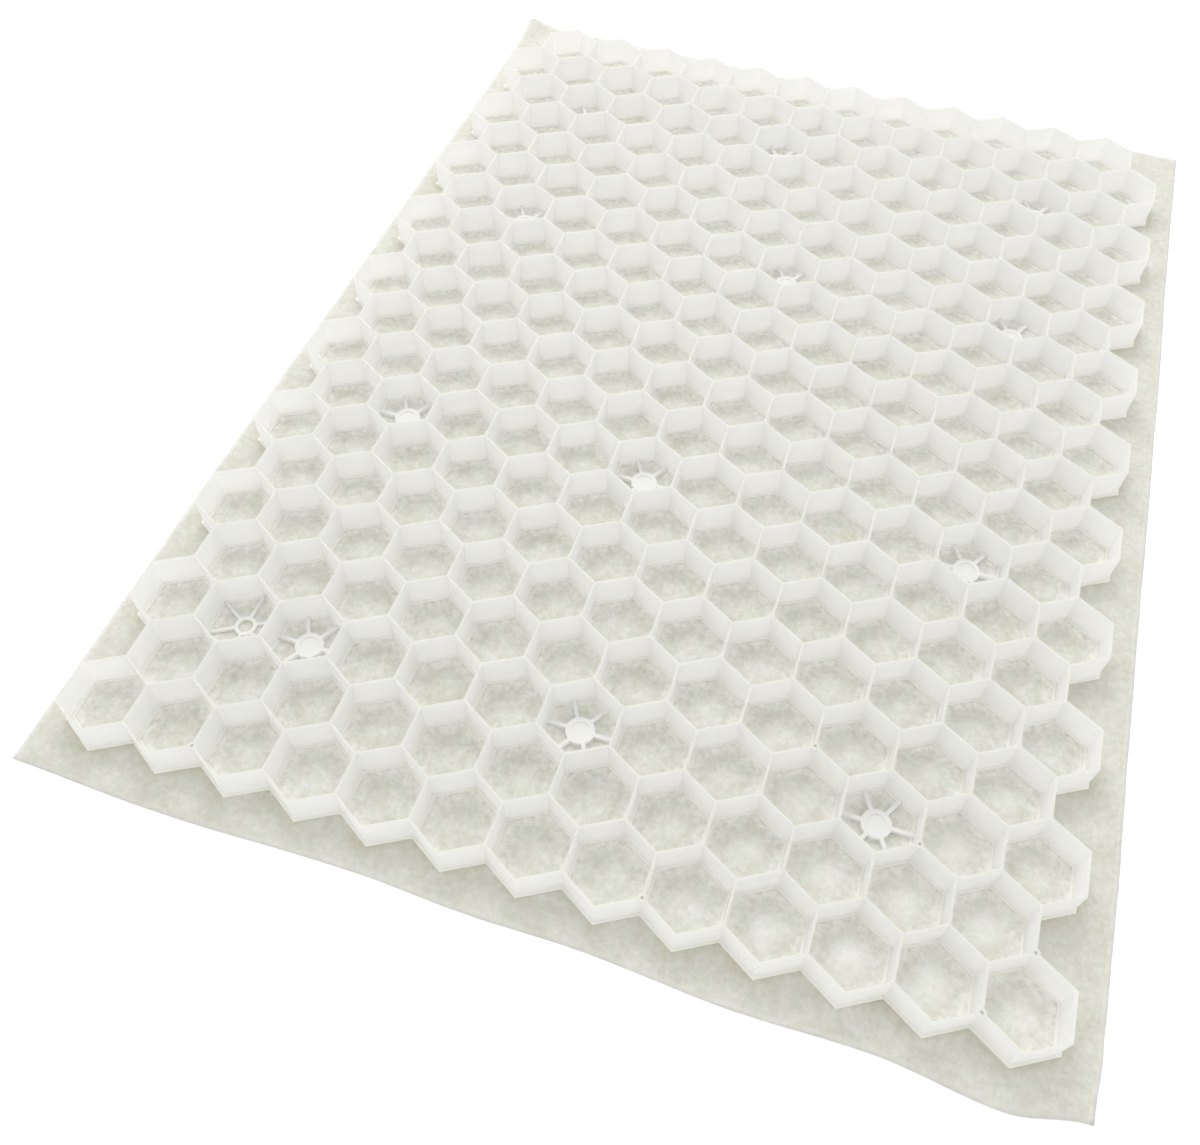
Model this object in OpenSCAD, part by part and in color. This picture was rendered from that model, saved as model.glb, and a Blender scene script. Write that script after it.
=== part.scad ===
// Gravel stabilizer panel: an injection moulded honeycomb of open cells, bonded
// to a sheet of non-woven geotextile that stands out beyond it on all four sides.
// X runs across the panel, along a row of cells. Y runs from the front edge to the
// back edge. Z = 0 is the floor, and X = Y = 0 is the middle of the sheet.

/* [Honeycomb] */
// Distance between neighbouring cell centres, and so a cell's width over its flats
cell_pitch = 58; // [45:1:75]
// Cells in each long row; the rows between them have one cell less
cells_across = 13; // [11:1:16]
// Rows of cells from the front edge to the back edge
row_count = 20; // [18:2:24]
// Height of the cell walls
wall_h = 30; // [20:1:50]
// Thickness of the cell walls
wall_t = 1.6; // [1:0.1:3]
// Width of the low foot under each wall, which is what the sheet is welded to
foot_w = 6; // [4:0.5:10]
// Height of that foot
foot_h = 1.2; // [0.6:0.1:3]

/* [Moulding marks] */
// Diameter of the solid hub under each injection gate
gate_hub_d = 23; // [14:1:30]
// Height of the gate hubs and of their spokes above the sheet
gate_hub_h = 4.5; // [3:0.5:8]
// Width of a gate hub's spokes
gate_spoke_w = 3; // [2:0.5:5]
// Width of the raised rim round the top of a gate hub
gate_rim_w = 4; // [2:0.5:5]
// Depth of the dish inside that rim
gate_dish_depth = 0.8; // [0.4:0.1:1.5]
// Outer diameter of the open ring hub
ring_hub_d = 18; // [14:1:26]
// Width of the ring itself
ring_hub_w = 3; // [2:0.5:4]
// Width of the ring hub's spokes
ring_spoke_w = 2.4; // [1.5:0.5:4]
// Height of the ring hub above the sheet
ring_hub_h = 3; // [2:0.5:6]
// Diameter of the round pads that the ejector pins push on
pad_d = 6.2; // [4:0.2:9]
// How far a pad reaches down from the top of the walls
pad_depth = 5; // [2:0.5:12]
// Diameter of the dimple in the middle of a pad
pad_dimple_d = 2.6; // [1:0.2:3]
// Depth of that dimple
pad_dimple_depth = 0.8; // [0.4:0.1:1.5]

/* [Geotextile sheet] */
// Thickness of the needle punched sheet
sheet_t = 1; // [0.6:0.1:3]
// Width of bare sheet beyond the honeycomb at the left
margin_left = 22; // [5:1:80]
// Width of bare sheet beyond the honeycomb at the right
margin_right = 31; // [5:1:80]
// Width of bare sheet beyond the honeycomb at the front
margin_front = 27; // [5:1:80]
// Width of bare sheet beyond the honeycomb at the back
margin_back = 42; // [5:1:80]

/* [Hidden] */
$fn = 48;

// Cells that hold a gate hub, as [cell along the row, row]
gate_cells = [
    [2, 2], [6, 2], [10, 2],
    [1, 7], [5, 7], [10, 7],
    [1, 13], [6, 13], [10, 13],
    [1, 17], [5, 17], [10, 17]
];
// The one cell with an open ring in place of a gate hub
ring_cell = [1, 2];
// Wall junctions with an ejector pad, as [cell along the row, row, corner angle]
pad_corners = [
    [2, 0, 210], [8, 0, 210], [12, 0, 210],
    [12, 0, 90], [10, 1, 90], [9, 2, 90]
];

row_pitch = cell_pitch * sqrt(3) / 2;
corner_r = cell_pitch / sqrt(3);
// Outside size of the honeycomb, over the faces of its outermost walls
comb_w = cells_across * cell_pitch + wall_t;
comb_l = (row_count - 1) * row_pitch + 2 * (corner_r + wall_t / sqrt(3));
sheet_w = comb_w + margin_left + margin_right;
sheet_l = comb_l + margin_front + margin_back;
// Centre of the first cell of row 0, measured from the middle of the sheet
first_x = margin_left - sheet_w / 2 + (cell_pitch + wall_t) / 2;
first_y = margin_front - sheet_l / 2 + corner_r + wall_t / sqrt(3);
// The moulding is drawn as two halves, cut square through the walls that rise
// from the zigzag between two rows, just past the corners of that zigzag
split_row = floor(row_count / 2);
split_y = first_y + split_row * row_pitch - corner_r / 2 + foot_w;

function cells_in(j) = j % 2 == 0 ? cells_across : cells_across - 1;
function cell_at(i, j) = [first_x + (i + j % 2 / 2) * cell_pitch, first_y + j * row_pitch];
function in_panel(c) = c[0] < cells_in(c[1]) && c[1] < row_count;
function in_rows(c, from, to) = in_panel(c) && c[1] >= from && c[1] <= to;

// A cell's outline, with two flats along Y and a corner at each end of them
module cell_outline(flats) {
    rotate(30)
        circle(d = flats * 2 / sqrt(3), $fn = 6);
}

module each_cell(from, to) {
    for (j = [from : to], i = [0 : cells_in(j) - 1])
        translate(cell_at(i, j))
            children();
}

// Strips of the thickness given, round every cell of the rows named
module wall_strips(from, to, thickness) {
    difference() {
        each_cell(from, to) cell_outline(cell_pitch + thickness);
        each_cell(from, to) cell_outline(cell_pitch - thickness);
    }
}

// What lies on one side of the cut between the halves
module half_of(rear) {
    reach = 2 * sheet_l;
    intersection() {
        children();
        translate([-reach / 2, rear ? split_y : split_y - reach])
            square(reach);
    }
}

// Bars from a cell's centre to its walls, the first of them at the angle given
module spokes(first_angle, bar_w, bar_h, reach) {
    for (k = [0 : 2])
        rotate(first_angle + 60 * k)
            translate([-reach, -bar_w / 2, 0])
                cube([2 * reach, bar_w, bar_h]);
}

// A solid dished disc under an injection gate, held by spokes to the six walls
module gate_hub() {
    difference() {
        union() {
            cylinder(d = gate_hub_d, h = gate_hub_h);
            spokes(0, gate_spoke_w, gate_hub_h, cell_pitch / 2);
        }
        translate([0, 0, gate_hub_h - gate_dish_depth])
            cylinder(d = gate_hub_d - 2 * gate_rim_w, h = 2 * gate_dish_depth);
    }
}

// An open ring, held by spokes to the six corners
module ring_hub() {
    difference() {
        union() {
            cylinder(d = ring_hub_d, h = ring_hub_h);
            spokes(30, ring_spoke_w, ring_hub_h, corner_r);
        }
        translate([0, 0, -ring_hub_h / 2])
            cylinder(d = ring_hub_d - 2 * ring_hub_w, h = 2 * ring_hub_h);
    }
}

// A round pad level with the top of the walls, centred on a wall junction
module ejector_pad() {
    translate([0, 0, wall_h - pad_depth])
        cylinder(d = pad_d, h = pad_depth);
}

module pad_dimple() {
    translate([0, 0, wall_h - pad_dimple_depth])
        cylinder(d = pad_dimple_d, h = 2 * pad_dimple_depth);
}

module each_pad(from, to) {
    for (p = pad_corners)
        if (in_rows(p, from, to))
            translate(cell_at(p[0], p[1]))
                rotate(p[2])
                    translate([corner_r, 0, 0])
                        children();
}

// The rows named, with their hubs and pads, standing on the sheet
module comb_rows(from, to, rear) {
    translate([0, 0, sheet_t])
        difference() {
            union() {
                linear_extrude(wall_h)
                    half_of(rear) wall_strips(from, to, wall_t);
                linear_extrude(foot_h)
                    half_of(rear) wall_strips(from, to, foot_w);
                for (c = gate_cells)
                    if (in_rows(c, from, to))
                        translate(cell_at(c[0], c[1])) gate_hub();
                if (in_rows(ring_cell, from, to))
                    translate(cell_at(ring_cell[0], ring_cell[1])) ring_hub();
                each_pad(from, to) ejector_pad();
            }
            each_pad(from, to) pad_dimple();
        }
}

module honeycomb_front_half() {
    color("#E9E9E2")
        comb_rows(0, split_row, false);
}

module honeycomb_rear_half() {
    color("#E9E9E2")
        comb_rows(split_row, row_count - 1, true);
}

module geotextile_sheet() {
    color("#CFCDBC")
        translate([-sheet_w / 2, -sheet_l / 2, 0])
            cube([sheet_w, sheet_l, sheet_t]);
}

geotextile_sheet();
honeycomb_front_half();
honeycomb_rear_half();
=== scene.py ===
"""A gravel stabilizer panel: a moulded polypropylene honeycomb welded to a geotextile sheet."""
import math

import bpy
import numpy as np
from mathutils import Matrix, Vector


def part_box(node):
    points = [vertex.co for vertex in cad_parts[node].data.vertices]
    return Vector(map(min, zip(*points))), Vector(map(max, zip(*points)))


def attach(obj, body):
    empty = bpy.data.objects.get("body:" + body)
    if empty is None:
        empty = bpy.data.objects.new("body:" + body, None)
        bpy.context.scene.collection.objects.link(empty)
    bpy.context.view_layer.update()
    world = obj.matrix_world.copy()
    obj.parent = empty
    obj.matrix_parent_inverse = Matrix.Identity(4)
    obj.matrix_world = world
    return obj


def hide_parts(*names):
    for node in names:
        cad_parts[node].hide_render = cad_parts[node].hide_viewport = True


MM = 0.001
# The honeycomb's own sizes, as in the CAD source
PITCH = 58 * MM
ROW = PITCH * math.sqrt(3) / 2
CELLS, ROWS = 13, 20
SHEET_T = 1.0 * MM

GATE_CELLS = [(2, 2), (6, 2), (10, 2), (1, 7), (5, 7), (10, 7),
              (1, 13), (6, 13), (10, 13), (1, 17), (5, 17), (10, 17)]
RING_CELL = (1, 2)

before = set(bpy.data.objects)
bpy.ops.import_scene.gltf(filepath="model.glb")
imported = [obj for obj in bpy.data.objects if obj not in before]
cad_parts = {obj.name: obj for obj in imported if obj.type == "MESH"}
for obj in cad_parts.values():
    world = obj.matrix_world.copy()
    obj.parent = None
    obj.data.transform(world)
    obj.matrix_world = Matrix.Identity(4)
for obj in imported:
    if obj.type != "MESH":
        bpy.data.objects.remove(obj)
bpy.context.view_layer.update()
halves = [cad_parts["honeycomb_front_half"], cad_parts["honeycomb_rear_half"]]
sheet_lo, sheet_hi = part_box("geotextile_sheet")
comb_lo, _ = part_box("honeycomb_front_half")
_, comb_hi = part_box("honeycomb_rear_half")
WALL_TOP = comb_hi.z
# Width of the low foot under the walls, by which the honeycomb is wider than its cells
FOOT_W = comb_hi.x - comb_lo.x - CELLS * PITCH
# Centre of cell 0 in row 0
FIRST_X = comb_lo.x + (PITCH + FOOT_W) / 2
FIRST_Y = comb_lo.y + (PITCH + FOOT_W) / math.sqrt(3)


# ---- small helpers ----

def lin(code):
    """An sRGB hex colour as linear RGBA."""
    c = [int(code[i:i + 2], 16) / 255 for i in (1, 3, 5)]
    return tuple(v / 12.92 if v <= 0.04045 else ((v + 0.055) / 1.055) ** 2.4 for v in c) + (1.0,)


def material(name):
    m = bpy.data.materials.new(name)
    m.use_nodes = True
    m.node_tree.nodes.clear()
    return m, m.node_tree


def add(tree, kind, inputs=None, **settings):
    """One shader node. inputs maps a socket to a value, or to (node, output) to link it."""
    n = tree.nodes.new(kind)
    for key, value in settings.items():
        setattr(n, key, value)
    for key, value in (inputs or {}).items():
        if isinstance(value, tuple) and len(value) == 2 and isinstance(value[0], bpy.types.Node):
            tree.links.new(value[0].outputs[value[1]], n.inputs[key])
        else:
            n.inputs[key].default_value = value
    return n


def ramp(tree, fac, stops, interpolation="LINEAR"):
    """A colour ramp on fac with stops of (position, hex colour)."""
    n = add(tree, "ShaderNodeValToRGB", {"Fac": fac})
    n.color_ramp.interpolation = interpolation
    while len(n.color_ramp.elements) < len(stops):
        n.color_ramp.elements.new(0.5)
    for e, (at, code) in zip(n.color_ramp.elements, stops):
        e.position, e.color = at, lin(code)
    return n


def mix(tree, fac, a, b, blend="MIX"):
    """A colour mix. Colour sockets of the mix node are its 6th and 7th inputs."""
    n = tree.nodes.new("ShaderNodeMix")
    n.data_type, n.blend_type = "RGBA", blend
    for at, value in ((0, fac), (6, a), (7, b)):
        if isinstance(value, tuple) and len(value) == 2 and isinstance(value[0], bpy.types.Node):
            tree.links.new(value[0].outputs[value[1]], n.inputs[at])
        else:
            n.inputs[at].default_value = value
    return n


# ---- the lattice, for the sheet's shape ----

def cells_in(j):
    return CELLS if j % 2 == 0 else CELLS - 1


def cell_at(i, j):
    return FIRST_X + (i + j % 2 / 2) * PITCH, FIRST_Y + j * ROW


CENTRES = np.array([cell_at(i, j) for j in range(ROWS) for i in range(cells_in(j))])
CELL_IDS = [(i, j) for j in range(ROWS) for i in range(cells_in(j))]
FLATS = np.array([(math.cos(a), math.sin(a)) for a in (0, math.pi / 3, 2 * math.pi / 3)])


def nearest_cell(x, y):
    """For each point: the nearest cell's index and how far past its walls' middle the point lies."""
    best = np.full(x.shape, 1e9)
    which = np.zeros(x.shape, int)
    for k, (cx, cy) in enumerate(CENTRES):
        dx, dy = x - cx, y - cy
        m = np.max([np.abs(dx * f[0] + dy * f[1]) for f in FLATS], axis=0) - PITCH / 2
        near = m < best
        best[near], which[near] = m[near], k
    return which, best


def value_noise(x, y, size, seed):
    """Smooth noise from -1 to 1 with bumps about size apart."""
    r = np.random.default_rng(seed)
    table = r.uniform(-1, 1, (256, 256))
    u, v = x / size + 500.3, y / size + 500.7
    iu, iv = np.floor(u).astype(int), np.floor(v).astype(int)
    fu, fv = u - iu, v - iv
    su, sv = fu * fu * (3 - 2 * fu), fv * fv * (3 - 2 * fv)
    t = lambda a, b: table[(iu + a) % 256, (iv + b) % 256]
    return ((t(0, 0) * (1 - su) + t(1, 0) * su) * (1 - sv)
            + (t(0, 1) * (1 - su) + t(1, 1) * su) * sv)


def smooth(t):
    t = np.clip(t, 0, 1)
    return t * t * (3 - 2 * t)


# ---- the geotextile sheet ----

def edge_wave(s, seed):
    """How a cut edge strays from its line, in metres, along the edge's length s."""
    return (1.1 * value_noise(s, s * 0, 0.11, seed) + 0.5 * value_noise(s, s * 0, 0.03, seed + 1)
            + 0.25 * value_noise(s, s * 0, 0.009, seed + 2)) * MM


# How far the cut edges lie inside their straight lines, as (place along the edge, inwards) in mm
FRONT_STRAY = [(-404, 1), (-290, -1), (-110, 5), (-35, 3), (50, 5), (160, 1), (260, 4.5), (348, -2.5), (404, 8)]
BACK_STRAY = [(-404, 0), (-350, 1), (-200, 2), (0, 5), (200, 8), (404, 8)]
# The felt has shrunk most, and so swells most between its welds, round this place
SWELL_X, SWELL_Y, SWELL_R = 260 * MM, -460 * MM, 130 * MM


def along(points, s):
    """A smooth curve through the points, in metres, at the places s."""
    at, off = np.array(points).T * MM
    k = np.clip(np.searchsorted(at, s) - 1, 0, len(at) - 2)
    t = smooth((s - at[k]) / (at[k + 1] - at[k]))
    return off[k] * (1 - t) + off[k + 1] * t


def make_sheet():
    w, l = sheet_hi.x - sheet_lo.x, sheet_hi.y - sheet_lo.y
    nx, ny = 181, 245
    u, v = np.meshgrid(np.linspace(0, 1, nx), np.linspace(0, 1, ny))
    sx, sy = sheet_lo.x + u * w, sheet_lo.y + v * l
    left = sheet_lo.x + 1 * MM + 0.7 * edge_wave(sy, 11)
    right = sheet_hi.x - 1.5 * MM + 0.7 * edge_wave(sy, 21)
    front = sheet_lo.y + along(FRONT_STRAY, sx) + 0.3 * edge_wave(sx, 31)
    back = sheet_hi.y - along(BACK_STRAY, sx) + 0.5 * edge_wave(sx, 41)
    # the front right corner is cut off a little
    right = right - 3 * MM * smooth(1 - (sy - sheet_lo.y) / (48 * MM))
    x = left + (right - left) * u
    y = front + (back - front) * v

    which, past = nearest_cell(x, y)
    r = np.random.default_rng(5)
    swell = np.exp(-((CENTRES[:, 0] - SWELL_X) ** 2 + (CENTRES[:, 1] - SWELL_Y) ** 2) / SWELL_R ** 2)
    lift = (r.uniform(0.5, 1.5, len(CENTRES)) + 0.8 * swell) * MM
    for k, ij in enumerate(CELL_IDS):
        if ij in GATE_CELLS or ij == RING_CELL:
            lift[k] = 0
    free = np.abs(past) - FOOT_W / 2
    inside = smooth(free / (PITCH / 2 - FOOT_W / 2)) * (past < 0)
    grain = (0.25 * value_noise(x, y, 0.011, 51) + 0.2 * value_noise(x, y, 0.006, 52)) * MM
    slack = smooth(free / (6 * MM)) * ((lift[which] > 0) | (past > 0))
    pucker = 0.45 * value_noise(x, y, 0.008, 53) * smooth(1 - free / (22 * MM)) * (past > 0) * MM
    z = SHEET_T + 0.2 * MM + inside * lift[which] + slack * (grain + pucker)
    # bare margins wave up off the floor away from the walls
    out = smooth((free - 2 * MM) / (24 * MM)) * (past > 0)
    wave = 1.3 + 1.5 * value_noise(x, y, 0.07, 61) + 0.6 * value_noise(x, y, 0.024, 62)
    to_edge = np.minimum(np.minimum(x - left, right - x), np.minimum(y - front, back - y))
    z = z + out * np.maximum(wave, 0) * (1 - 0.75 * smooth(1 - to_edge / (14 * MM))) * MM
    # a cut edge is pressed thin, and the back left corner curls up
    brink = smooth(1 - to_edge / (5 * MM))
    z = z * (1 - brink) + 0.4 * MM * brink
    z = z + 9 * MM * smooth(1 - np.hypot(x - sheet_lo.x, y - sheet_hi.y) / (42 * MM))

    verts = np.stack([x.ravel(), y.ravel(), z.ravel()], 1)
    quads = [(j * nx + i, j * nx + i + 1, (j + 1) * nx + i + 1, (j + 1) * nx + i)
             for j in range(ny - 1) for i in range(nx - 1)]
    mesh = bpy.data.meshes.new("geotextile_felt")
    mesh.from_pydata(verts.tolist(), [], quads)
    mesh.polygons.foreach_set("use_smooth", [True] * len(mesh.polygons))
    # what the felt's colour follows, point by point
    tones = {
        # painted light: where the felt is painted paler beside the walls
        "near_weld": smooth(1 - free / (11 * MM)) * (past < 0),
        # painted highlight: where the middles of the pillows are painted whiter
        "pillow": inside * (lift[which] > 0) * (0.12 + 0.88 * swell[which]),
        "near_edge": brink,
        "margin": smooth(free / (12 * MM)) * (past > 0),
        # painted shade: where the felt is painted olive outside the walls
        "hollow": 0.3 * smooth(1 - free / (10 * MM)) * (past > 0) * (1 + value_noise(x, y, 0.02, 71)),
    }
    for name, value in tones.items():
        mesh.attributes.new(name, "FLOAT", "POINT").data.foreach_set("value", value.ravel().astype(np.float32))
    mesh.update()
    ob = bpy.data.objects.new("geotextile_felt", mesh)
    bpy.context.scene.collection.objects.link(ob)
    thick = ob.modifiers.new("thickness", "SOLIDIFY")
    thick.thickness, thick.offset = 0.9 * MM, -1
    middle = ob.vertex_groups.new(name="away_from_edge")
    for k in np.flatnonzero(brink.ravel() < 0.5):
        middle.add([int(k)], 1.0, "REPLACE")
    thick.vertex_group, thick.thickness_vertex_group = middle.name, 0.3
    return ob


# ---- materials ----

def felt_material():
    """Needle punched polypropylene felt: cloudy fibre mat, with loose fibres in every direction."""
    m, t = material("needle_punched_geotextile_felt")
    at = add(t, "ShaderNodeTexCoord")
    pos = (at, "Object")
    weld = add(t, "ShaderNodeAttribute", attribute_name="near_weld")
    full = add(t, "ShaderNodeAttribute", attribute_name="pillow")
    cloud = add(t, "ShaderNodeTexNoise", {"Vector": pos, "Scale": 30.0, "Detail": 1.0, "Roughness": 0.65})
    curls = add(t, "ShaderNodeTexNoise", {"Vector": pos, "Scale": 190.0, "Detail": 2.0, "Roughness": 0.75})
    base = ramp(t, (cloud, "Fac"), [(0.32, "#CDCBC0"), (0.5, "#D6D7CF"), (0.68, "#DFDFDB")])
    mottle = ramp(t, (curls, "Fac"), [(0.3, "#C8C6B8"), (0.5, "#D9DAD1"), (0.7, "#ECECE8")])
    c = mix(t, 0.5, (base, "Color"), (mottle, "Color"))
    # the mat is thin in places and blends two batches of fibre, one pinker and one greener
    batch = add(t, "ShaderNodeTexNoise", {"Vector": pos, "Scale": 62.0, "Detail": 0.0})
    hue = ramp(t, (batch, "Fac"), [(0.34, "#FCFEFA"), (0.5, "#FFFFFF"), (0.66, "#FFFCFB")])
    c = mix(t, 1.0, (c, 2), (hue, "Color"), "MULTIPLY")
    # painted highlight: the raised middles of the pillows are painted whiter and a little pink, most where the felt
    # swells most
    pillow_light_fac = add(t, "ShaderNodeMath", {0: (full, "Fac"), 1: 0.5}, operation="MULTIPLY")
    c = mix(t, (pillow_light_fac, 0), (c, 2), lin("#FCFBF6"))
    # painted light: beside the walls the felt is painted paler, in patches after the fibre mottle, to lift the shade
    # at the walls' feet
    rough_edge = add(t, "ShaderNodeMapRange", {"Value": (curls, "Fac"), "From Min": 0.3, "From Max": 0.7,
                                               "To Min": 0.3, "To Max": 0.95})
    wall_glow_fac = add(t, "ShaderNodeMath", {0: (weld, "Fac"), 1: (rough_edge, 0)}, operation="MULTIPLY")
    c = mix(t, (wall_glow_fac, 0), (c, 2), lin("#F8F7F1"))
    # beyond the outer walls the felt is made greyer, more so away from the walls
    margin = add(t, "ShaderNodeAttribute", attribute_name="margin")
    margin_fac = add(t, "ShaderNodeMath", {0: (margin, "Fac"), 1: 0.3}, operation="MULTIPLY")
    c = mix(t, (margin_fac, 0), (c, 2), lin("#C6C4B9"))
    # painted shade: close outside the walls the felt is painted olive, in patches, where the walls' shadows fall
    hollow = add(t, "ShaderNodeAttribute", attribute_name="hollow")
    c = mix(t, (hollow, "Fac"), (c, 2), lin("#BBB59C"))
    # light passes through the thin fringe of a cut edge
    rim = add(t, "ShaderNodeAttribute", attribute_name="near_edge")
    rim_fac = add(t, "ShaderNodeMath", {0: (rim, "Fac"), 1: 0.45}, operation="MULTIPLY")
    c = mix(t, (rim_fac, 0), (c, 2), lin("#FFFEF7"))
    nap = add(t, "ShaderNodeTexNoise", {"Vector": pos, "Scale": 260.0, "Detail": 0.0})
    bump = add(t, "ShaderNodeBump", {"Height": (nap, "Fac"), "Strength": 0.5, "Distance": 0.8 * MM})
    shader = add(t, "ShaderNodeBsdfPrincipled", {
        "Base Color": (c, 2), "Roughness": 0.92, "Specular IOR Level": 0.2, "Normal": (bump, "Normal")})
    add(t, "ShaderNodeOutputMaterial", {"Surface": (shader, "BSDF")})
    return m


def polypropylene_material():
    """Natural polypropylene as it leaves the mould: milky, half clear, with a soft shine."""
    m, t = material("natural_polypropylene_moulded")
    at = add(t, "ShaderNodeTexCoord")
    pos = (at, "Object")
    # flow lines lie along the walls, so the noise is stretched level
    level = add(t, "ShaderNodeMapping", {"Vector": pos, "Scale": (14.0, 14.0, 420.0)})
    streak = add(t, "ShaderNodeTexNoise", {"Vector": (level, 0), "Scale": 1.0, "Detail": 0.0})
    xyz = add(t, "ShaderNodeSeparateXYZ", {0: pos})
    up = add(t, "ShaderNodeMapRange", {"Value": (xyz, "Z"), "From Min": SHEET_T, "From Max": WALL_TOP})
    # painted light: the walls are painted a shade whiter towards their feet, to lift the shade deep in the cells
    height = ramp(t, (up, 0), [(0.0, "#FFFFFF"), (0.4, "#FEFEFD"), (0.7, "#FBFBFA"), (1.0, "#F7F7F6")])
    tone = ramp(t, (streak, "Fac"), [(0.3, "#FBFBF9"), (0.55, "#FEFEFD"), (0.75, "#FFFFFF")])
    c = mix(t, 0.4, (height, "Color"), (tone, "Color"))
    face = add(t, "ShaderNodeNewGeometry")
    nz = add(t, "ShaderNodeSeparateXYZ", {0: (face, "True Normal")})
    flat = add(t, "ShaderNodeMath", {0: (nz, "Z"), 1: 0.8}, operation="GREATER_THAN")
    # light that enters a wall's narrow top edge runs down inside it, so the edge itself is less white
    high = add(t, "ShaderNodeMath", {0: (xyz, "Z"), 1: WALL_TOP - 1.2 * MM}, operation="GREATER_THAN")
    rim = add(t, "ShaderNodeMath", {0: (flat, 0), 1: (high, 0)}, operation="MULTIPLY")
    c = mix(t, (rim, 0), (c, 2), lin("#F1F2EA"))
    # the hubs and their spokes are thick and the foot lies on the felt, so little light goes through them
    low = add(t, "ShaderNodeMath", {0: (xyz, "Z"), 1: 7 * MM}, operation="LESS_THAN")
    solid = add(t, "ShaderNodeMath", {0: (flat, 0), 1: (low, 0)}, operation="MULTIPLY")
    c = mix(t, (solid, 0), (c, 2), lin("#F6F6EF"))
    raised = add(t, "ShaderNodeMath", {0: (xyz, "Z"), 1: SHEET_T + 2 * MM}, operation="GREATER_THAN")
    hub = add(t, "ShaderNodeMath", {0: (solid, 0), 1: (raised, 0)}, operation="MULTIPLY")
    c = mix(t, (hub, 0), (c, 2), lin("#ECECE9"))
    # the dimples in the ejector pads lie in their own shade
    sunk = add(t, "ShaderNodeMath", {0: (xyz, "Z"), 1: WALL_TOP - 0.4 * MM}, operation="LESS_THAN")
    dimple = add(t, "ShaderNodeMath", {0: (rim, 0), 1: (sunk, 0)}, operation="MULTIPLY")
    c = mix(t, (dimple, 0), (c, 2), lin("#C9CABF"))
    clear = add(t, "ShaderNodeMath", {0: (solid, 0), 1: -0.54, 2: 0.62}, operation="MULTIPLY_ADD")
    skin = add(t, "ShaderNodeBsdfPrincipled", {"Base Color": (c, 2), "Roughness": 0.45, "Specular IOR Level": 0.3})
    through = add(t, "ShaderNodeBsdfTranslucent", {"Color": (c, 2)})
    shader = add(t, "ShaderNodeMixShader", {0: (clear, 0), 1: (skin, 0), 2: (through, 0)})
    add(t, "ShaderNodeOutputMaterial", {"Surface": (shader, 0)})
    return m


felt = make_sheet()
felt.data.materials.append(felt_material())
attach(felt, "root")
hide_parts("geotextile_sheet")

plastic = polypropylene_material()
for half in halves:
    half.data.materials.clear()
    half.data.materials.append(plastic)


# ---- floor, light and camera ----

def make_floor():
    bpy.ops.mesh.primitive_plane_add(size=30, location=(0, 0, -0.0002))
    ob = bpy.context.object
    ob.name = "floor"
    m, t = material("white_sweep")
    ray = add(t, "ShaderNodeLightPath")
    grain = add(t, "ShaderNodeTexNoise", {"Scale": 3.0, "Detail": 0.0})
    pale = ramp(t, (grain, "Fac"), [(0.0, "#F4F4F4"), (1.0, "#F8F8F8")])
    lit = add(t, "ShaderNodeBsdfDiffuse", {"Color": (pale, "Color")})
    glow = add(t, "ShaderNodeEmission", {"Color": (1, 1, 1, 1), "Strength": 0.2})
    both = add(t, "ShaderNodeAddShader", {0: (lit, 0), 1: (glow, 0)})
    seen = add(t, "ShaderNodeMixShader", {0: (ray, "Is Camera Ray"), 1: (lit, 0), 2: (both, 0)})
    add(t, "ShaderNodeOutputMaterial", {"Surface": (seen, 0)})
    ob.data.materials.append(m)
    return ob


make_floor()

world = bpy.data.worlds.new("studio")
bpy.context.scene.world = world
world.use_nodes = True
wt = world.node_tree
wt.nodes.clear()
# the room is lightest to the back left
look = add(wt, "ShaderNodeTexCoord")
back_left = add(wt, "ShaderNodeVectorMath", {0: (look, "Generated"), 1: (-0.5, 0.86, 0.0)}, operation="DOT_PRODUCT")
strength = add(wt, "ShaderNodeMath", {0: (back_left, "Value"), 1: 0.28, 2: 1.045}, operation="MULTIPLY_ADD")
sky = add(wt, "ShaderNodeBackground", {"Color": lin("#FEFEFE"), "Strength": (strength, 0)})
add(wt, "ShaderNodeOutputWorld", {"Surface": (sky, 0)})


def area_light(name, at, aim, size, power, colour):
    data = bpy.data.lights.new(name, "AREA")
    data.shape, data.size, data.energy, data.color = "DISK", size, power, lin(colour)[:3]
    ob = bpy.data.objects.new(name, data)
    ob.location = at
    d = np.array(at, float) - np.array(aim, float)
    z = d / np.linalg.norm(d)
    x = np.cross([0, 0, 1], z)
    x = x / np.linalg.norm(x)
    y = np.cross(z, x)
    ob.rotation_euler = Matrix([list(r) for r in np.stack([x, y, z], 1)]).to_euler()
    bpy.context.scene.collection.objects.link(ob)
    return ob


area_light("back_softbox", (-0.45, 0.95, 1.7), (0, 0.1, 0), 0.9, 10, "#FFFEFC")

camera = bpy.data.cameras.new("camera")
camera.sensor_width, camera.lens = 36, 33.4374
camera.shift_x, camera.shift_y = -0.015188, -0.000552
camera.clip_start, camera.clip_end = 0.01, 100
eye = bpy.data.objects.new("camera", camera)
right = (0.9476885244, 0.3185445568, 0.0203918135)
up = (-0.2732605981, 0.7766306731, 0.5676032444)
backward = (0.1649700161, -0.5434833603, 0.8230496527)
place = Matrix([list(r) + [p] for r, p in zip(zip(right, up, backward), (0.1318845204, -0.7476885185, 0.7838209183))]
               + [[0, 0, 0, 1]])
eye.matrix_world = place
bpy.context.scene.collection.objects.link(eye)
bpy.context.scene.camera = eye

scene = bpy.context.scene
scene.view_settings.view_transform = "Standard"
# the white cells pass light round many times before it leaves them
scene.cycles.max_bounces, scene.cycles.diffuse_bounces = 7, 6
